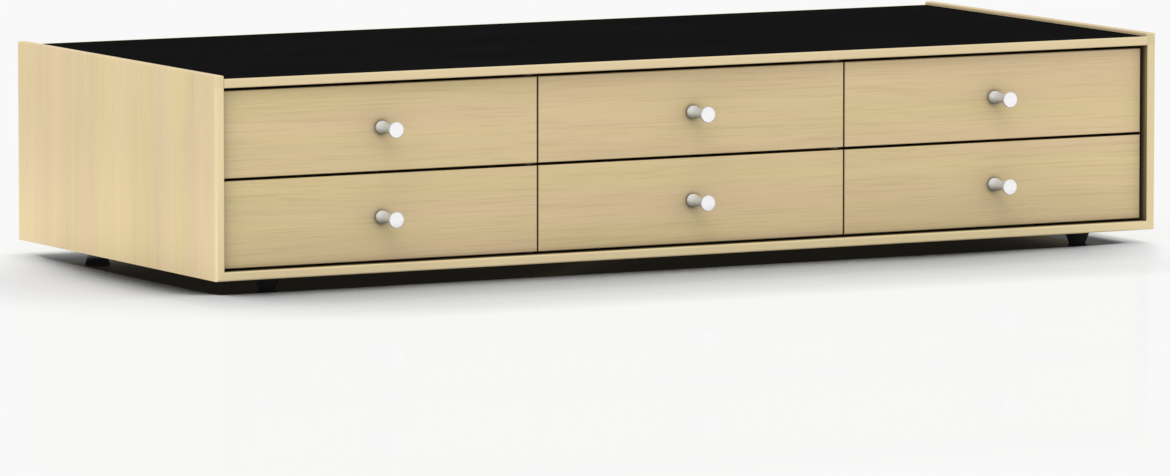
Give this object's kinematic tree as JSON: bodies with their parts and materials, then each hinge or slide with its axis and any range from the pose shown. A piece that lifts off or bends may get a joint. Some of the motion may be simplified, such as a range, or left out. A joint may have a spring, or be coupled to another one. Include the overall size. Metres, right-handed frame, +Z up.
{
  "type": "drawer organizer",
  "caption": "Low wooden chest with rows of shallow drawers on wooden runners, turned metal knobs, a black laminate top and small rubber feet.",
  "frame": {"origin": "on the floor, in the middle of the ground that the chest and its knobs cover", "axes": "+X to the right along the drawer fronts, +Y to the back, +Z up"},
  "size_m": [0.762, 0.342, 0.1535],
  "materials": {
    "veneer": "satin pale ash veneer",
    "front_veneer": "satin pale ash veneer, grain along the front",
    "laminate": "matte black laminate",
    "back_board": "thin plywood",
    "inner_board": "birch plywood",
    "runner_wood": "waxed hardwood",
    "drawer_board": "sanded solid wood",
    "drawer_bottom": "thin plywood",
    "knob_metal": "satin turned, polished end face",
    "screw_steel": "zinc plated",
    "foot_rubber": "matte black",
    "stop_felt": "grey felt"
  },
  "bodies": {
    "case": {"side_panel_left": "veneer", "side_panel_right": "veneer", "bottom_panel": "veneer", "top_panel": "veneer", "top_laminate": "laminate", "back_panel": "back_board", "divider_left": "inner_board", "divider_runners_left": "runner_wood", "divider_right": "inner_board", "divider_runners_right": "runner_wood", "side_runner_lower_left": "runner_wood", "side_runner_lower_right": "runner_wood", "side_runner_upper_left": "runner_wood", "side_runner_upper_right": "runner_wood", "drawer_stops": "stop_felt", "feet": "foot_rubber"},
    "drawer_lower_left": {"drawer_lower_left_front": "front_veneer", "drawer_lower_left_side_left": "drawer_board", "drawer_lower_left_side_right": "drawer_board", "drawer_lower_left_back": "drawer_board", "drawer_lower_left_bottom": "drawer_bottom", "drawer_lower_left_knob": "knob_metal", "drawer_lower_left_knob_screw": "screw_steel"},
    "drawer_lower_centre": {"drawer_lower_centre_front": "front_veneer", "drawer_lower_centre_side_left": "drawer_board", "drawer_lower_centre_side_right": "drawer_board", "drawer_lower_centre_back": "drawer_board", "drawer_lower_centre_bottom": "drawer_bottom", "drawer_lower_centre_knob": "knob_metal", "drawer_lower_centre_knob_screw": "screw_steel"},
    "drawer_lower_right": {"drawer_lower_right_front": "front_veneer", "drawer_lower_right_side_left": "drawer_board", "drawer_lower_right_side_right": "drawer_board", "drawer_lower_right_back": "drawer_board", "drawer_lower_right_bottom": "drawer_bottom", "drawer_lower_right_knob": "knob_metal", "drawer_lower_right_knob_screw": "screw_steel"},
    "drawer_upper_left": {"drawer_upper_left_front": "front_veneer", "drawer_upper_left_side_left": "drawer_board", "drawer_upper_left_side_right": "drawer_board", "drawer_upper_left_back": "drawer_board", "drawer_upper_left_bottom": "drawer_bottom", "drawer_upper_left_knob": "knob_metal", "drawer_upper_left_knob_screw": "screw_steel"},
    "drawer_upper_centre": {"drawer_upper_centre_front": "front_veneer", "drawer_upper_centre_side_left": "drawer_board", "drawer_upper_centre_side_right": "drawer_board", "drawer_upper_centre_back": "drawer_board", "drawer_upper_centre_bottom": "drawer_bottom", "drawer_upper_centre_knob": "knob_metal", "drawer_upper_centre_knob_screw": "screw_steel"},
    "drawer_upper_right": {"drawer_upper_right_front": "front_veneer", "drawer_upper_right_side_left": "drawer_board", "drawer_upper_right_side_right": "drawer_board", "drawer_upper_right_back": "drawer_board", "drawer_upper_right_bottom": "drawer_bottom", "drawer_upper_right_knob": "knob_metal", "drawer_upper_right_knob_screw": "screw_steel"}
  },
  "joints": [
    {"name": "drawer_lower_left_slide", "type": "slide", "parent": "case", "child": "drawer_lower_left", "axis": [0, -1, 0], "range_m": [0, 0.235]},
    {"name": "drawer_lower_centre_slide", "type": "slide", "parent": "case", "child": "drawer_lower_centre", "axis": [0, -1, 0], "range_m": [0, 0.235]},
    {"name": "drawer_lower_right_slide", "type": "slide", "parent": "case", "child": "drawer_lower_right", "axis": [0, -1, 0], "range_m": [0, 0.235]},
    {"name": "drawer_upper_left_slide", "type": "slide", "parent": "case", "child": "drawer_upper_left", "axis": [0, -1, 0], "range_m": [0, 0.235]},
    {"name": "drawer_upper_centre_slide", "type": "slide", "parent": "case", "child": "drawer_upper_centre", "axis": [0, -1, 0], "range_m": [0, 0.235]},
    {"name": "drawer_upper_right_slide", "type": "slide", "parent": "case", "child": "drawer_upper_right", "axis": [0, -1, 0], "range_m": [0, 0.235]}
  ]
}
